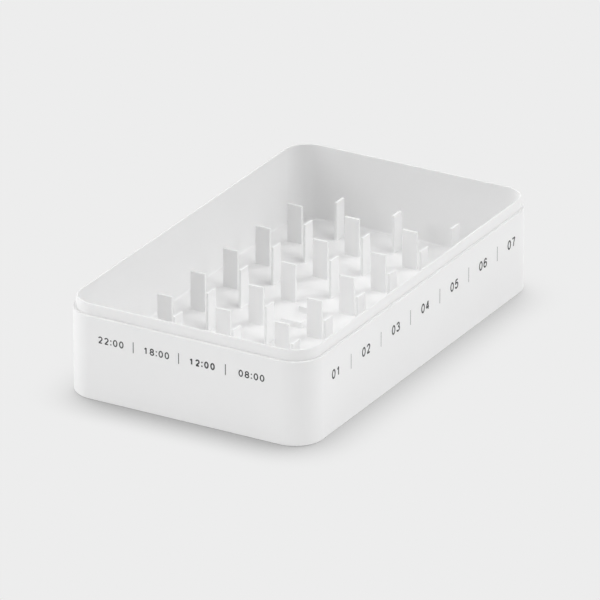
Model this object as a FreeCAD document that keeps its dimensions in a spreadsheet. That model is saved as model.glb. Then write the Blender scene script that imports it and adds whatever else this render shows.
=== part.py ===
"""Pill counting tray: an outer shell, and an inner tray with upright divider tabs that lifts out of it.

The frame: +X to the right, +Y to the back, +Z up, millimetres, with the origin in the middle of the
underside. The cells lie in columns across X, one for each time of day, and in rows along Y, one for
each day. Column 1 is on the left and row 1 is at the front.
"""

import FreeCAD
import Part
import Sketcher
import math
import os

# Driving dimensions: alias, value in millimetres (the first two are counts), meaning.
SIZES = (
    ("columns", 4, "cells across the tray"),
    ("rows", 7, "cells along the tray"),
    ("column_pitch", 25.0, "from the middle of one column to the next"),
    ("row_pitch", 24.35, "from the middle of one row to the next"),
    ("divider_thickness", 1.2, "thickness of every divider tab"),
    ("divider_height", 15.5, "height of every divider tab above the tray's floor"),
    ("row_divider_width", 6.4, "width of the tabs between two rows"),
    ("column_divider_width", 5.9, "width of the tabs between two columns"),
    ("end_trim", 0.2, "how much the cells next to the tray's wall are shorter than the pitch makes them"),
    ("corner_radius", 9.5, "upright inside corner of the tray"),
    ("tray_wall", 0.8, "wall of the inner tray"),
    ("tray_floor", 1.2, "floor of the inner tray"),
    ("floor_height", 7.3, "top of the tray's floor above the table"),
    ("floor_fillet", 0.8, "rounding between the tray's floor and its wall"),
    ("lip_height", 4.4, "how far the tray's lip stands above the ledge"),
    ("lip_rounding", 0.3, "rounding of the lip's two top edges"),
    ("heel_rounding", 0.5, "rounding of the tray's bottom edge"),
    ("tray_clearance", 0.25, "gap between the tray's wall and the shell's, all round"),
    ("shell_wall", 1.0, "wall of the outer shell, whose top edge is the ledge"),
    ("shell_floor", 1.5, "floor of the outer shell"),
    ("ledge_height", 33.4, "height of the ledge above the table"),
    ("ledge_rounding", 0.3, "rounding of the ledge's outer edge"),
    ("bottom_rounding", 0.4, "rounding of the shell's bottom edge"),
    ("rib_thickness", 1.2, "thickness of the ribs that carry the tray"),
    ("rib_inset", 6.0, "from the end of a rib to the shell's wall"),
    ("lug_width", 8.8, "width of the two centre lugs"),
    ("lug_depth", 3.2, "depth of a centre lug, front to back"),
    ("lug_height", 2.4, "height of a centre lug above the tray's floor"),
    ("lug_spacing", 13.0, "from the middle of one centre lug to the other"),
)

# Heights and outlines that follow from the sizes, as expressions.
CAVITY_WIDTH = "(Sizes.columns * Sizes.column_pitch - 2 * Sizes.end_trim)"
CAVITY_LENGTH = "(Sizes.rows * Sizes.row_pitch - 2 * Sizes.end_trim)"
TRAY_UNDERSIDE = "(Sizes.floor_height - Sizes.tray_floor)"
RIM_HEIGHT = "(Sizes.ledge_height + Sizes.lip_height)"
SHELL_INSET = "(Sizes.tray_wall + Sizes.tray_clearance)"
SHELL_OUTSET = "(Sizes.tray_wall + Sizes.tray_clearance + Sizes.shell_wall)"

TOLERANCE = 1e-4
START_HALF_SIDE = 40.0
START_RADIUS = 10.0


def fill_sheet(doc):
    """The spreadsheet of driving dimensions, one row for each."""
    sheet = doc.addObject("Spreadsheet::Sheet", "Sizes")
    for row, (alias, value, meaning) in enumerate(SIZES, start=1):
        sheet.set(f"A{row}", meaning)
        sheet.set(f"B{row}", str(value))
        sheet.setAlias(f"B{row}", alias)
    doc.recompute()
    return sheet


def origin_plane(body, role):
    """One of the body's own origin planes."""
    return next(feature for feature in body.Origin.OriginFeatures if feature.Role == role)


def rounded_outline(body, name, outset, height):
    """A sketch of the tray's cavity outline, grown outwards all round by outset, at this height."""
    sketch = body.newObject("Sketcher::SketchObject", name)
    sketch.AttachmentSupport = (origin_plane(body, "XY_Plane"), [""])
    sketch.MapMode = "FlatFace"
    sketch.setExpression("AttachmentOffset.Base.z", height)
    side = START_HALF_SIDE
    straight = START_HALF_SIDE - START_RADIUS
    ends = (
        ((-straight, -side), (straight, -side)),
        ((side, -straight), (side, straight)),
        ((straight, side), (-straight, side)),
        ((-side, straight), (-side, -straight)),
    )
    centres = ((straight, -straight), (straight, straight), (-straight, straight), (-straight, -straight))
    axis = FreeCAD.Vector(0, 0, 1)
    for start, end in ends:
        line = Part.LineSegment(FreeCAD.Vector(*start, 0), FreeCAD.Vector(*end, 0))
        sketch.addGeometry(line, False)
    for quarter, centre in enumerate(centres):
        circle = Part.Circle(FreeCAD.Vector(*centre, 0), axis, START_RADIUS)
        begin = (quarter - 1) * math.pi / 2
        sketch.addGeometry(Part.ArcOfCircle(circle, begin, begin + math.pi / 2), False)
    for side_line in range(4):
        corner = side_line + 4
        sketch.addConstraint(Sketcher.Constraint("Tangent", side_line, 2, corner, 1))
        sketch.addConstraint(Sketcher.Constraint("Tangent", corner, 2, (side_line + 1) % 4, 1))
        direction = "Vertical" if side_line % 2 else "Horizontal"
        sketch.addConstraint(Sketcher.Constraint(direction, side_line))
    for corner in (5, 6, 7):
        sketch.addConstraint(Sketcher.Constraint("Equal", 4, corner))
    sketch.addConstraint(Sketcher.Constraint("Symmetric", 4, 3, 6, 3, -1, 1))
    driven = (
        ("width", Sketcher.Constraint("DistanceX", 3, 1, 1, 1, 2 * side), f"{CAVITY_WIDTH} + 2 * {outset}"),
        ("length", Sketcher.Constraint("DistanceY", 0, 1, 2, 1, 2 * side), f"{CAVITY_LENGTH} + 2 * {outset}"),
        ("radius", Sketcher.Constraint("Radius", 4, START_RADIUS), f"Sizes.corner_radius + {outset}"),
    )
    for label, constraint, expression in driven:
        index = sketch.addConstraint(constraint)
        sketch.renameConstraint(index, label)
        sketch.setExpression(f"Constraints.{label}", expression)
    return sketch


def pad(body, name, sketch, height):
    """The sketch's outline raised by height."""
    feature = body.newObject("PartDesign::Pad", name)
    feature.Profile = sketch
    feature.setExpression("Length", height)
    sketch.Document.recompute()
    return feature


def pocket(body, name, sketch, depth):
    """The sketch's outline cut downwards by depth, with the volume that it takes away checked."""
    before = body.Shape.Volume
    feature = body.newObject("PartDesign::Pocket", name)
    feature.Profile = sketch
    feature.setExpression("Length", depth)
    sketch.Document.recompute()
    expected = Part.Face(sketch.Shape.Wires[0]).Area * feature.Length.Value
    removed = before - feature.Shape.Volume
    if abs(removed - expected) > TOLERANCE * expected:
        raise RuntimeError(f"{name} took away {removed:.1f} mm3 and not {expected:.1f} mm3")
    return feature


def level_face(shape, height):
    """The shape's flat level face at this height."""
    for face in shape.Faces:
        if abs(face.BoundBox.ZMin - height) < TOLERANCE and abs(face.BoundBox.ZMax - height) < TOLERANCE:
            return face
    raise RuntimeError(f"there is no level face at {height} mm")


def round_edges(body, name, height, radius, holes=False):
    """Rounds the outer edges of the body's level face at this height, and those of its holes if asked."""
    base = body.Tip
    shape = base.Shape
    face = level_face(shape, height)
    picked = face.Edges if holes else face.OuterWire.Edges
    names = [
        f"Edge{number}"
        for number, edge in enumerate(shape.Edges, start=1)
        if any(edge.isSame(other) for other in picked)
    ]
    if len(names) != len(picked):
        raise RuntimeError(f"{name}: {len(names)} of {len(picked)} edges were found")
    feature = body.newObject("PartDesign::Fillet", name)
    feature.Base = (base, names)
    feature.setExpression("Radius", radius)
    body.Document.recompute()
    return feature


def make_outer_shell(doc, sizes):
    """The open box whose walls carry the legends, and whose top edge is the ledge."""
    body = doc.addObject("PartDesign::Body", "OuterShell")
    body.Label = "outer_shell"
    outside = rounded_outline(body, "ShellOutside", SHELL_OUTSET, "0")
    pad(body, "ShellBlock", outside, "Sizes.ledge_height")
    inside = rounded_outline(body, "ShellInside", SHELL_INSET, "Sizes.ledge_height")
    pocket(body, "ShellCavity", inside, "Sizes.ledge_height - Sizes.shell_floor")
    round_edges(body, "BottomEdge", 0, "Sizes.bottom_rounding")
    round_edges(body, "LedgeEdge", sizes.ledge_height, "Sizes.ledge_rounding")
    return body


def make_inner_tray(doc, sizes):
    """The lift-out tray: its wall with the lip above the ledge, and its raised floor."""
    body = doc.addObject("PartDesign::Body", "InnerTray")
    body.Label = "inner_tray"
    outside = rounded_outline(body, "TrayOutside", "Sizes.tray_wall", TRAY_UNDERSIDE)
    pad(body, "TrayBlock", outside, f"{RIM_HEIGHT} - {TRAY_UNDERSIDE}")
    inside = rounded_outline(body, "TrayInside", "0", RIM_HEIGHT)
    pocket(body, "TrayCavity", inside, f"{RIM_HEIGHT} - Sizes.floor_height")
    underside = sizes.floor_height - sizes.tray_floor
    rim = sizes.ledge_height + sizes.lip_height
    round_edges(body, "FloorFillet", sizes.floor_height, "Sizes.floor_fillet")
    round_edges(body, "HeelEdge", underside, "Sizes.heel_rounding")
    round_edges(body, "LipEdges", rim, "Sizes.lip_rounding", holes=True)
    return body


def make_block(doc, label, size, centre, base):
    """A straight-sided block: its size along X, Y and Z, its centre in plan and the height of its base."""
    block = doc.addObject("Part::Box", label)
    block.Label = label
    for side, expression in zip(("Length", "Width", "Height"), size):
        block.setExpression(side, expression)
    block.setExpression("Placement.Base.x", f"{centre[0]} - ({size[0]}) / 2")
    block.setExpression("Placement.Base.y", f"{centre[1]} - ({size[1]}) / 2")
    block.setExpression("Placement.Base.z", base)
    return block


def column_place(number):
    """Where a column's middle lies along X. A half, such as 1.5, is midway between two columns."""
    return f"({number} - (Sizes.columns + 1) / 2) * Sizes.column_pitch"


def row_place(number):
    """Where a row's middle lies along Y. A half, such as 1.5, is midway between two rows."""
    return f"({number} - (Sizes.rows + 1) / 2) * Sizes.row_pitch"


def make_support_ribs(doc, sizes):
    """One rib under each column, from the shell's floor up to the tray's underside."""
    size = (
        "Sizes.rib_thickness",
        f"{CAVITY_LENGTH} + 2 * {SHELL_INSET} - 2 * Sizes.rib_inset",
        f"{TRAY_UNDERSIDE} - Sizes.shell_floor",
    )
    return [
        make_block(doc, f"support_rib_{column}", size, (column_place(column), "0"), "Sizes.shell_floor")
        for column in range(1, sizes.columns + 1)
    ]


def make_row_dividers(doc, sizes):
    """Tabs that stand across X in the middle of each column, between one row and the next."""
    size = ("Sizes.row_divider_width", "Sizes.divider_thickness", "Sizes.divider_height")
    return [
        make_block(
            doc,
            f"row_divider_{row}_{column}",
            size,
            (column_place(column), row_place(row + 0.5)),
            "Sizes.floor_height",
        )
        for row in range(1, sizes.rows)
        for column in range(1, sizes.columns + 1)
    ]


def make_column_dividers(doc, sizes):
    """Tabs that stand along Y in the middle of each row, between one column and the next.

    The one in the very middle of the tray is left out, for the centre lugs.
    """
    size = ("Sizes.divider_thickness", "Sizes.column_divider_width", "Sizes.divider_height")
    middle = (sizes.columns / 2, (sizes.rows + 1) / 2)
    return [
        make_block(
            doc,
            f"column_divider_{column}_{row}",
            size,
            (column_place(column + 0.5), row_place(row)),
            "Sizes.floor_height",
        )
        for column in range(1, sizes.columns)
        for row in range(1, sizes.rows + 1)
        if (column, row) != middle
    ]


def make_centre_lugs(doc):
    """Two low lugs on the tray's floor, in front of and behind its middle."""
    size = ("Sizes.lug_width", "Sizes.lug_depth", "Sizes.lug_height")
    return [
        make_block(doc, "front_lug", size, ("0", "-Sizes.lug_spacing / 2"), "Sizes.floor_height"),
        make_block(doc, "rear_lug", size, ("0", "Sizes.lug_spacing / 2"), "Sizes.floor_height"),
    ]


def check(doc, pieces):
    """Stops if a feature failed, or if a piece's shape is empty, broken or not one solid."""
    for item in doc.Objects:
        if "Invalid" in item.State or "Error" in item.State:
            raise RuntimeError(f"{item.Label} did not compute: {item.State}")
    for piece in pieces:
        if piece.Shape.isNull() or not piece.Shape.isValid() or len(piece.Shape.Solids) != 1:
            raise RuntimeError(f"{piece.Label} is not one valid solid")


def main():
    doc = FreeCAD.newDocument("PillCountingTray")
    sizes = fill_sheet(doc)
    pieces = [make_outer_shell(doc, sizes), make_inner_tray(doc, sizes)]
    pieces += make_support_ribs(doc, sizes)
    pieces += make_row_dividers(doc, sizes)
    pieces += make_column_dividers(doc, sizes)
    pieces += make_centre_lugs(doc)
    doc.recompute()
    check(doc, pieces)
    os.makedirs("parts", exist_ok=True)
    for piece in pieces:
        piece.Shape.exportStep(f"parts/{piece.Label}.step")
    print(f"{len(pieces)} sub-parts written")


main()
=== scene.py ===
import math

import bmesh
import bpy
from mathutils import Matrix, Vector


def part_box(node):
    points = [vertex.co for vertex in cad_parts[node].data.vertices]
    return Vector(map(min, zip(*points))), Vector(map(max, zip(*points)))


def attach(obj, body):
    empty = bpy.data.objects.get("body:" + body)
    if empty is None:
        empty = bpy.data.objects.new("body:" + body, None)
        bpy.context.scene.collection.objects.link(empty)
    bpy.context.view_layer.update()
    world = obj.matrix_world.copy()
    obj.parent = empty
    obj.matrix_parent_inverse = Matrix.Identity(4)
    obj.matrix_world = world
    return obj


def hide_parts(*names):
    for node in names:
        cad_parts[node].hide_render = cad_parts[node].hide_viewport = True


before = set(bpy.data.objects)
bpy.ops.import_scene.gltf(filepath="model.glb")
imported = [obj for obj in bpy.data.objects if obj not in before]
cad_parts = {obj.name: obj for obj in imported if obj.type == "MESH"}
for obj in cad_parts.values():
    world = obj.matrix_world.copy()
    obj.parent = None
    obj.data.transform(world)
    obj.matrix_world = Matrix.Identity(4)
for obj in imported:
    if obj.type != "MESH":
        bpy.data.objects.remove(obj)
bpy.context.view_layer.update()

# A pill counting tray: an outer shell with printed legends, and an inner tray with divider tabs.
# Everything is in metres in the CAD frame: +X right, +Y back, +Z up, origin under the middle.

MM = 0.001

# The moulding's details, which the frame's boxes don't give.
CORNER_RADIUS = 9.5 * MM       # upright inside corner of the tray
TRAY_WALL = 0.8 * MM
TRAY_FLOOR = 1.2 * MM
SHELL_WALL = 1.0 * MM
SHELL_FLOOR = 1.5 * MM
RUNNING_GAP = 0.25 * MM        # between the tray's wall and the shell's
RIM_GAP = 0.04 * MM            # what the shell's rim land leaves of it
RIM_LAND = 1.6 * MM            # height of that land
FLOOR_FILLET = 0.8 * MM
LIP_ROUNDING = 0.3 * MM
LEDGE_ROUNDING = 0.3 * MM
CAVITY_ROUNDING = 0.1 * MM     # inner edge of the shell's rim
HEEL_ROUNDING = 0.5 * MM       # bottom edge of the tray
BOTTOM_ROUNDING = 0.4 * MM     # bottom edge of the shell

TAB_CORNER = 0.08 * MM         # rounding of a divider tab's upright corners, at its top
TAB_TOP = 0.14 * MM            # rounding of its top edge
TAB_ROOT = 0.3 * MM            # fillet where it grows out of the floor
TAB_DRAFT = 0.05 * MM          # how much each face leans in from the root to the top
TAB_SINK = 0.05 * MM           # how far its foot goes into the floor

INK = 0.02 * MM                # thickness of the print, and how far the shell's face lies in for it
CORNER_STEPS = 20
EDGE_STEPS = 5
LARGE_FACE_WEIGHT = 100        # the most that Blender's weighted normals take


# Meshes

def arc(centre, radius, start, end, steps=EDGE_STEPS):
    """Points of an arc, from one angle to another in degrees."""
    points = []
    for step in range(steps + 1):
        angle = math.radians(start + (end - start) * step / steps)
        points.append((centre[0] + radius * math.cos(angle), centre[1] + radius * math.sin(angle)))
    return points


def rounded_rectangle(half_x, half_y, radius, steps):
    """Points round a rectangle with rounded corners, anticlockwise from the front right corner."""
    points = []
    for quarter, (sx, sy) in enumerate(((1, -1), (1, 1), (-1, 1), (-1, -1))):
        centre = (sx * (half_x - radius), sy * (half_y - radius))
        points += arc(centre, radius, 90 * (quarter - 1), 90 * quarter, steps)
    return points


def sweep(name, centre, half, radius, profile, steps):
    """A closed solid: a profile of (outset, height) points run round a rounded rectangle."""
    mesh = bmesh.new()
    rings = []
    for outset, height in profile:
        points = rounded_rectangle(half.x + outset, half.y + outset, radius + outset, steps)
        rings.append([mesh.verts.new((centre.x + x, centre.y + y, height)) for x, y in points])
    for below, above in zip(rings, rings[1:]):
        for i, corner in enumerate(below):
            j = (i + 1) % len(below)
            mesh.faces.new((corner, below[j], above[j], above[i]))
    mesh.faces.new(rings[0])
    mesh.faces.new(rings[-1])
    bmesh.ops.recalc_face_normals(mesh, faces=mesh.faces)
    return smoothed(as_object(name, mesh))


def as_object(name, mesh):
    """The bmesh as an object in the scene."""
    data = bpy.data.meshes.new(name)
    mesh.to_mesh(data)
    mesh.free()
    piece = bpy.data.objects.new(name, data)
    bpy.context.scene.collection.objects.link(piece)
    return piece


def smoothed(piece):
    """Smooth shading, but a large face keeps its own normal up to its edge."""
    piece.data.shade_smooth()
    normals = piece.modifiers.new("large_faces_flat", "WEIGHTED_NORMAL")
    normals.weight = LARGE_FACE_WEIGHT
    return piece


def bowl_profile(wall, floor, rim, underside, inner_edge, outer_edge, heel, land=None):
    """From the inside of the floor up the wall, over the rim and down to the underside.

    Outset 0 is the wall's outer face. A land, (thickness, height), thickens the wall under the rim.
    """
    profile = arc((-wall - FLOOR_FILLET, floor + FLOOR_FILLET), FLOOR_FILLET, -90, 0)
    if land:
        profile.append((-wall, rim - land[1] - 2 * land[0]))
        wall += land[0]
        profile.append((-wall, rim - land[1]))
    profile += arc((-wall + inner_edge, rim - inner_edge), inner_edge, 180, 90)
    profile += arc((-outer_edge, rim - outer_edge), outer_edge, 90, 0)
    profile += arc((-heel, underside + heel), heel, 0, -90)
    return profile


def extent(node):
    """A CAD node's centre and half size in plan, its lowest level and its highest."""
    low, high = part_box(node)
    return (low + high).xy / 2, (high - low).xy / 2, low.z, high.z


def fit(piece, body, slot, material, *nodes):
    """Gives the piece its material, and ties it to the CAD."""
    piece.data.materials.append(material)
    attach(piece, body)
    if nodes:
        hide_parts(*nodes)
    return piece


# Materials

# Noise scales are cells to the metre.
SHADE_SCALE = 38.0
GLOSS_SCALE = 260.0
GRAIN_SCALE = 5200.0
GRAIN_DEPTH = 0.03 * MM
GRAIN_STRENGTH = 0.15
INK_SCALE = 1400.0
PLASTIC_IOR = 1.49
PLASTIC_SPECULAR = 0.45
MOULD_LIGHT = (0.92, 0.92, 0.92)
MOULD_DARK = (0.9, 0.9, 0.9)
INK_DARK = (0.028, 0.029, 0.031)
INK_LIGHT = (0.046, 0.047, 0.049)
INK_SMOOTH = 0.42
INK_ROUGH = 0.6


def shader_node(tree, kind, **inputs):
    made = tree.nodes.new(kind)
    for name, value in inputs.items():
        made.inputs[name].default_value = value
    return made


def camera_sees(tree, shown, otherwise, output):
    """The camera sees one shader of a floor or backdrop, and all other rays meet the other."""
    ray = tree.nodes.new("ShaderNodeLightPath")
    choice = tree.nodes.new("ShaderNodeMixShader")
    tree.links.new(ray.outputs["Is Camera Ray"], choice.inputs["Fac"])
    tree.links.new(otherwise, choice.inputs[1])
    tree.links.new(shown, choice.inputs[2])
    tree.links.new(choice.outputs["Shader"], tree.nodes[output].inputs["Surface"])


def moulded_plastic(name, light, dark, smooth, rough):
    """Satin moulded plastic: slow differences of shade, uneven gloss and a fine spark-eroded grain."""
    material = bpy.data.materials.new(name)
    material.use_nodes = True
    tree = material.node_tree
    link = tree.links.new
    shader = tree.nodes["Principled BSDF"]
    shader.inputs["IOR"].default_value = PLASTIC_IOR
    shader.inputs["Specular IOR Level"].default_value = PLASTIC_SPECULAR
    place = tree.nodes.new("ShaderNodeTexCoord").outputs["Object"]

    cloud = shader_node(tree, "ShaderNodeTexNoise", Scale=SHADE_SCALE, Detail=3.0)
    shade = tree.nodes.new("ShaderNodeValToRGB")
    shade.color_ramp.elements[0].color = (*dark, 1)
    shade.color_ramp.elements[1].color = (*light, 1)
    link(place, cloud.inputs["Vector"])
    link(cloud.outputs["Fac"], shade.inputs["Fac"])
    link(shade.outputs["Color"], shader.inputs["Base Color"])

    sheen = shader_node(tree, "ShaderNodeTexNoise", Scale=GLOSS_SCALE, Detail=4.0)
    gloss = tree.nodes.new("ShaderNodeMapRange")
    gloss.inputs["To Min"].default_value = smooth
    gloss.inputs["To Max"].default_value = rough
    link(place, sheen.inputs["Vector"])
    link(sheen.outputs["Fac"], gloss.inputs["Value"])
    link(gloss.outputs["Result"], shader.inputs["Roughness"])

    grain = shader_node(tree, "ShaderNodeTexNoise", Scale=GRAIN_SCALE, Detail=2.0)
    bump = shader_node(tree, "ShaderNodeBump", Strength=GRAIN_STRENGTH, Distance=GRAIN_DEPTH)
    link(place, grain.inputs["Vector"])
    link(grain.outputs["Fac"], bump.inputs["Height"])
    link(bump.outputs["Normal"], shader.inputs["Normal"])
    return material


def printed_ink(name):
    """Pad-printed dark grey ink, a little uneven in cover and gloss."""
    material = bpy.data.materials.new(name)
    material.use_nodes = True
    tree = material.node_tree
    link = tree.links.new
    shader = tree.nodes["Principled BSDF"]
    place = tree.nodes.new("ShaderNodeTexCoord").outputs["Object"]
    cover = shader_node(tree, "ShaderNodeTexNoise", Scale=INK_SCALE, Detail=3.0)
    shade = tree.nodes.new("ShaderNodeValToRGB")
    shade.color_ramp.elements[0].color = (*INK_DARK, 1)
    shade.color_ramp.elements[1].color = (*INK_LIGHT, 1)
    gloss = tree.nodes.new("ShaderNodeMapRange")
    gloss.inputs["To Min"].default_value = INK_SMOOTH
    gloss.inputs["To Max"].default_value = INK_ROUGH
    link(place, cover.inputs["Vector"])
    link(cover.outputs["Fac"], shade.inputs["Fac"])
    link(cover.outputs["Fac"], gloss.inputs["Value"])
    link(shade.outputs["Color"], shader.inputs["Base Color"])
    link(gloss.outputs["Result"], shader.inputs["Roughness"])
    return material


def floor_paper(name):
    """Plain pale floor. It lights the object from below, but the camera sees it as an even tone.

    That tone darkens close under the object, most on the side that SHADOW_LEAN points away from. It is
    a painted contact shadow: shadows that the lights throw don't show on the floor.
    """
    material = bpy.data.materials.new(name)
    material.use_nodes = True
    tree = material.node_tree
    link = tree.links.new
    bounce = tree.nodes["Principled BSDF"]
    bounce.inputs["Base Color"].default_value = (FLOOR_BOUNCE, FLOOR_BOUNCE, FLOOR_BOUNCE, 1)
    bounce.inputs["Roughness"].default_value = 1.0
    bounce.inputs["Specular IOR Level"].default_value = 0.0
    x, y, z = SHADOW_LEAN.normalized()
    lean = shader_node(tree, "ShaderNodeCombineXYZ", X=x, Y=y, Z=z)
    openness = shader_node(tree, "ShaderNodeAmbientOcclusion", Distance=SHADOW_REACH)
    covered = tree.nodes.new("ShaderNodeMath")
    covered.operation = "SUBTRACT"
    covered.inputs[0].default_value = 1.0
    shadow = tree.nodes.new("ShaderNodeMath")
    shadow.operation = "POWER"
    shadow.inputs[1].default_value = SHADOW_FALLOFF
    shade = tree.nodes.new("ShaderNodeMapRange")
    shade.inputs["To Min"].default_value = BACKDROP
    shade.inputs["To Max"].default_value = BACKDROP * (1 - SHADOW_DEPTH)
    tone = tree.nodes.new("ShaderNodeEmission")
    link(lean.outputs["Vector"], openness.inputs["Normal"])
    link(openness.outputs["AO"], covered.inputs[1])
    link(covered.outputs["Value"], shadow.inputs[0])
    link(shadow.outputs["Value"], shade.inputs["Value"])
    link(shade.outputs["Result"], tone.inputs["Color"])
    camera_sees(tree, tone.outputs["Emission"], bounce.outputs["BSDF"], "Material Output")
    return material


# The object

def make_shell(material):
    centre, half, bottom, rim = extent("outer_shell")
    half = half - Vector((INK, INK))
    wall = SHELL_WALL - INK
    radius = CORNER_RADIUS + TRAY_WALL + RUNNING_GAP + wall
    profile = bowl_profile(
        wall, bottom + SHELL_FLOOR, rim, bottom,
        inner_edge=CAVITY_ROUNDING, outer_edge=LEDGE_ROUNDING, heel=BOTTOM_ROUNDING,
        land=(RUNNING_GAP - RIM_GAP, RIM_LAND),
    )
    shell = sweep("shell", centre, half, radius, profile, CORNER_STEPS)
    return fit(shell, "shell", "shell_plastic", material, "outer_shell")


def make_tray(material):
    centre, half, underside, rim = extent("inner_tray")
    profile = bowl_profile(
        TRAY_WALL, underside + TRAY_FLOOR, rim, underside,
        inner_edge=LIP_ROUNDING, outer_edge=LIP_ROUNDING, heel=HEEL_ROUNDING,
    )
    tray = sweep("tray", centre, half, CORNER_RADIUS + TRAY_WALL, profile, CORNER_STEPS)
    return fit(tray, "tray", "tray_plastic", material, "inner_tray")


def make_tab(node, body, slot, material):
    """A divider tab, lug or rib with its root fillet, draft and rounded edges."""
    centre, half, floor, top = extent(node)
    edge = TAB_TOP + TAB_DRAFT
    profile = [(TAB_ROOT, floor - TAB_SINK)]
    profile += arc((TAB_ROOT, floor + TAB_ROOT), TAB_ROOT, -90, -180)
    profile += arc((-edge, top - TAB_TOP), TAB_TOP, 0, 90)
    tab = sweep(node + "_moulded", centre, half, TAB_CORNER + edge, profile, EDGE_STEPS)
    return fit(tab, body, slot, material, node)


# Legends: clock times for the doses on the front, numbers for the days on the right

DIGIT_WIDTH = 0.68             # these four are parts of a digit's height
COLON_WIDTH = 0.18
MEDIUM = 0.17
BOLD = 0.205
CURVE_STEPS = 24

TIMES = ("22:00", "18:00", "12:00", "08:00")
TIME_WEIGHTS = (MEDIUM, MEDIUM, BOLD, MEDIUM)
TIME_CENTRES = (-30.8 * MM, -11.5 * MM, 7.75 * MM, 28.5 * MM)
TIME_BARS = (-21.3 * MM, -2.1 * MM, 17.6 * MM)
TIME_LEVEL = 24.85 * MM
TIME_HEIGHT = 2.8 * MM
TIME_BAR_HEIGHT = 4.3 * MM
TIME_BAR_WIDTH = 0.32 * MM
TIME_SPACING = 0.24

DAY_COUNT = 7
DAY_PITCH = 22.4 * MM
DAY_MIDDLE = 1.2 * MM
DAY_LEVEL = 23.15 * MM
DAY_HEIGHT = 3.9 * MM
DAY_BAR_HEIGHT = 5.9 * MM
DAY_BAR_WIDTH = 0.24 * MM
DAY_SPACING = 0.2


def bow(x, z, across, up, start, end):
    """Points of an elliptic arc, from one angle to another in degrees."""
    points = []
    for step in range(CURVE_STEPS + 1):
        angle = math.radians(start + (end - start) * step / CURVE_STEPS)
        points.append((x + across * math.cos(angle), z + up * math.sin(angle)))
    return points


def digit_strokes(digit):
    """The pen's path for a digit, as strokes of (across, up) points from 0 to 1."""
    return {
        "0": [bow(0.5, 0.5, 0.5, 0.5, 0, 360)],
        "1": [[(0.12, 0.74), (0.36, 0.82), (0.56, 0.98)], [(0.58, 1), (0.58, 0)]],
        "2": [bow(0.5, 0.71, 0.48, 0.29, 165, -35) + [(0.5, 0.28), (0.1, 0.02)], [(0, 0), (1, 0)]],
        "3": [bow(0.47, 0.76, 0.43, 0.24, 165, -90), bow(0.48, 0.26, 0.52, 0.26, 90, -165)],
        "4": [[(0.72, 1), (0.72, 0)], [(0.68, 0.97), (0.04, 0.28)], [(0, 0.26), (1.02, 0.26)]],
        "5": [[(0.92, 1), (0.16, 1)], [(0.2, 1), (0.1, 0.48)], bow(0.47, 0.33, 0.53, 0.33, 145, -160)],
        "6": [bow(0.5, 0.3, 0.5, 0.3, 0, 360), bow(0.56, 0.4, 0.56, 0.6, 40, 190)],
        "7": [[(0, 1), (1, 1)], [(0.96, 0.98), (0.6, 0.5), (0.4, 0)]],
        "8": [bow(0.5, 0.76, 0.42, 0.24, 0, 360), bow(0.5, 0.26, 0.5, 0.26, 0, 360)],
    }[digit]


def pen_stroke(mesh, points, width):
    """A band of ink of even width along the points, in the XZ plane, INK thick on each side of it."""
    closed = (Vector(points[0]) - Vector(points[-1])).length < width / 10
    if closed:
        points = points[:-1]
    rings = []
    for i, (x, z) in enumerate(points):
        before = points[i - 1] if closed or i else points[i]
        after = points[(i + 1) % len(points)] if closed or i + 1 < len(points) else points[i]
        across = (Vector(after) - Vector(before)).orthogonal().normalized() * width / 2
        corners = ((1, -1), (-1, -1), (-1, 1), (1, 1))
        rings.append([mesh.verts.new((x + s * across.x, t * INK, z + s * across.y)) for s, t in corners])
    for i in range(len(rings) if closed else len(rings) - 1):
        here, there = rings[i], rings[(i + 1) % len(rings)]
        for j in range(4):
            mesh.faces.new((here[j], here[j - 1], there[j - 1], there[j]))
    if not closed:
        mesh.faces.new(rings[0])
        mesh.faces.new(rings[-1])


def write(mesh, text, centre, level, height, weight, spacing):
    """Prints the text in plain sans digits round its centre, in the XZ plane."""
    widths = [COLON_WIDTH if sign == ":" else DIGIT_WIDTH for sign in text]
    left = -(sum(widths) + spacing * (len(text) - 1)) / 2
    for sign, width in zip(text, widths):
        if sign == ":":
            dots = (0.08 + weight / 2, 0.62 + weight / 2)
            strokes = [[(0.5, z - weight / 2), (0.5, z + weight / 2)] for z in dots]
            inset = 0
        else:
            strokes = digit_strokes(sign)
            inset = weight / 2
        for stroke in strokes:
            points = []
            for x, z in stroke:
                across = left + inset + x * (width - 2 * inset)
                up = inset + z * (1 - 2 * inset) - 0.5
                points.append((centre + height * across, level + height * up))
            pen_stroke(mesh, points, weight * height)
        left += width + spacing


def print_legends(name, mesh, turn, distance, material):
    """The mesh as a print on the shell's face that a turn brings round from the front."""
    place = Matrix.Rotation(math.radians(turn), 4, "Z") @ Matrix.Translation((0, -distance, 0))
    bmesh.ops.transform(mesh, matrix=place, verts=mesh.verts)
    bmesh.ops.recalc_face_normals(mesh, faces=mesh.faces)
    return fit(as_object(name, mesh), "shell", "legend_ink", material)


def make_time_legends(material):
    mesh = bmesh.new()
    for text, centre, weight in zip(TIMES, TIME_CENTRES, TIME_WEIGHTS):
        write(mesh, text, centre, TIME_LEVEL, TIME_HEIGHT, weight, TIME_SPACING)
    for bar in TIME_BARS:
        ends = [(bar, TIME_LEVEL - TIME_BAR_HEIGHT / 2), (bar, TIME_LEVEL + TIME_BAR_HEIGHT / 2)]
        pen_stroke(mesh, ends, TIME_BAR_WIDTH)
    front = -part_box("outer_shell")[0].y - INK
    return print_legends("time_legends", mesh, 0, front, material)


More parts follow.
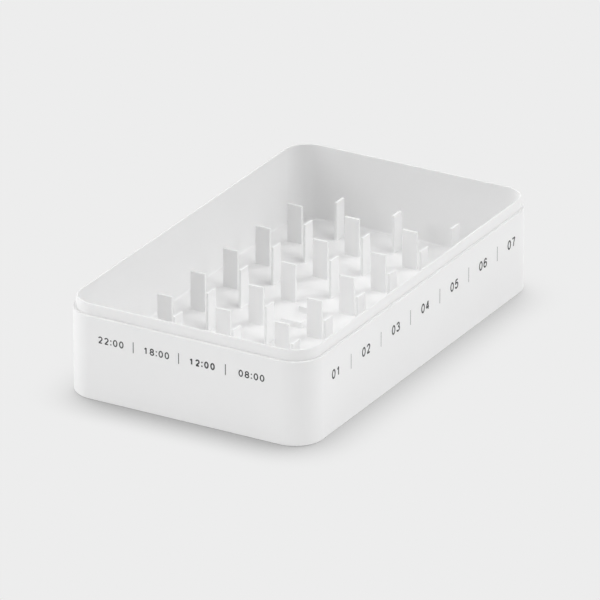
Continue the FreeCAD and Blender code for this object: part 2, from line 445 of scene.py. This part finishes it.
def make_day_legends(material):
    mesh = bmesh.new()
    for day in range(DAY_COUNT):
        centre = DAY_MIDDLE + (day - (DAY_COUNT - 1) / 2) * DAY_PITCH
        write(mesh, f"{day + 1:02d}", centre, DAY_LEVEL, DAY_HEIGHT, MEDIUM, DAY_SPACING)
        if day:
            bar = centre - DAY_PITCH / 2
            ends = [(bar, DAY_LEVEL - DAY_BAR_HEIGHT / 2), (bar, DAY_LEVEL + DAY_BAR_HEIGHT / 2)]
            pen_stroke(mesh, ends, DAY_BAR_WIDTH)
    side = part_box("outer_shell")[1].x - INK
    return print_legends("day_legends", mesh, 90, side, material)


# The studio

FLOOR_REACH = 6.0              # m, from its middle to each edge
FLOOR_SEGMENTS = 8
FLOOR_BOUNCE = 0.95            # what it reflects to everything but the camera
SHADOW_REACH = 20 * MM
SHADOW_DEPTH = 1.0
SHADOW_FALLOFF = 1.9
SHADOW_LEAN = Vector((-0.35, 0.8, 1.0))   # leans the painted shadow the other way
BACKDROP = 0.847               # what the camera sees behind the floor, the same tone as the floor
SKY = 0.237


def make_floor():
    mesh = bmesh.new()
    bmesh.ops.create_grid(mesh, x_segments=FLOOR_SEGMENTS, y_segments=FLOOR_SEGMENTS, size=FLOOR_REACH)
    floor = as_object("floor", mesh)
    floor.data.materials.append(floor_paper("floor_paper"))


def direction(azimuth, elevation):
    """Unit vector from the object towards a place at this azimuth (0 is the front) and elevation."""
    a = math.radians(azimuth)
    e = math.radians(elevation)
    return Vector((math.sin(a) * math.cos(e), -math.cos(a) * math.cos(e), math.sin(e)))


LIGHT_ACROSS = 30              # degrees, how broad each light is

# The strengths here and SKY weren't chosen by hand. They are least-squares results against the
# photograph's tones, averaged, merged and rounded, with front_left and low_front_left changed since.
LIGHTS = (
    # name, azimuth, elevation, strength
    ("high_right_back", 135, 60, 0.57),
    ("right", 83, 35, 0.71),
    ("high_right", 90, 60, 0.14),
    ("right_back", 135, 35, 0.23),
    ("left", -90, 35, 0.66),
    ("left_back", -135, 35, 0.22),
    ("high_front_left", -45, 60, 0.4),
    ("front_left", -45, 35, 0.49),
    ("low_front_left", -45, 15, 0.33),
    ("low_back", 180, 15, 0.55),
)


def make_lights():
    for name, azimuth, elevation, strength in LIGHTS:
        lamp = bpy.data.lights.new(name, "SUN")
        lamp.angle = math.radians(LIGHT_ACROSS)
        lamp.energy = strength
        light = bpy.data.objects.new(name, lamp)
        light.rotation_mode = "QUATERNION"
        light.rotation_quaternion = direction(azimuth, elevation).to_track_quat("Z", "Y")
        bpy.context.scene.collection.objects.link(light)


def make_world():
    """Even light from all round. The camera sees a backdrop of the floor's tone instead of it."""
    world = bpy.data.worlds.new("studio")
    world.use_nodes = True
    tree = world.node_tree
    sky = tree.nodes["Background"]
    sky.inputs["Color"].default_value = (SKY, SKY, SKY, 1)
    backdrop = shader_node(tree, "ShaderNodeBackground", Color=(BACKDROP, BACKDROP, BACKDROP, 1))
    camera_sees(tree, backdrop.outputs["Background"], sky.outputs["Background"], "World Output")
    bpy.context.scene.world = world


# Least-squares results too, from the photograph's tab corners and edge lines.
CAMERA_SENSOR = 36             # mm
CAMERA_LENS = 495.33           # mm
CAMERA_AZIMUTH = 29.618
CAMERA_ELEVATION = 23.987
CAMERA_DISTANCE = 3.080        # m
CAMERA_AIM = Vector((-1.97, 2.15, 13.69)) * MM
CAMERA_NEAR = 0.1              # m
CAMERA_FAR = 50                # m


def make_camera():
    lens = bpy.data.cameras.new("camera")
    lens.lens = CAMERA_LENS
    lens.sensor_width = CAMERA_SENSOR
    lens.clip_start = CAMERA_NEAR
    lens.clip_end = CAMERA_FAR
    camera = bpy.data.objects.new("camera", lens)
    back = direction(CAMERA_AZIMUTH, CAMERA_ELEVATION)
    camera.location = CAMERA_AIM + CAMERA_DISTANCE * back
    camera.rotation_mode = "QUATERNION"
    camera.rotation_quaternion = back.to_track_quat("Z", "Y")
    bpy.context.scene.collection.objects.link(camera)
    bpy.context.scene.camera = camera
    bpy.context.scene.view_settings.view_transform = "Standard"


shell_white = moulded_plastic("shell_white", MOULD_LIGHT, MOULD_DARK, 0.42, 0.52)
tray_white = moulded_plastic("tray_white", MOULD_LIGHT, MOULD_DARK, 0.40, 0.50)
ink = printed_ink("legend_grey")

make_shell(shell_white)
make_tray(tray_white)
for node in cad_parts:
    if node.startswith("support_rib"):
        make_tab(node, "shell", "shell_plastic", shell_white)
    elif node not in ("outer_shell", "inner_tray"):
        make_tab(node, "tray", "tray_plastic", tray_white)
make_time_legends(ink)
make_day_legends(ink)
make_floor()
make_lights()
make_world()
make_camera()
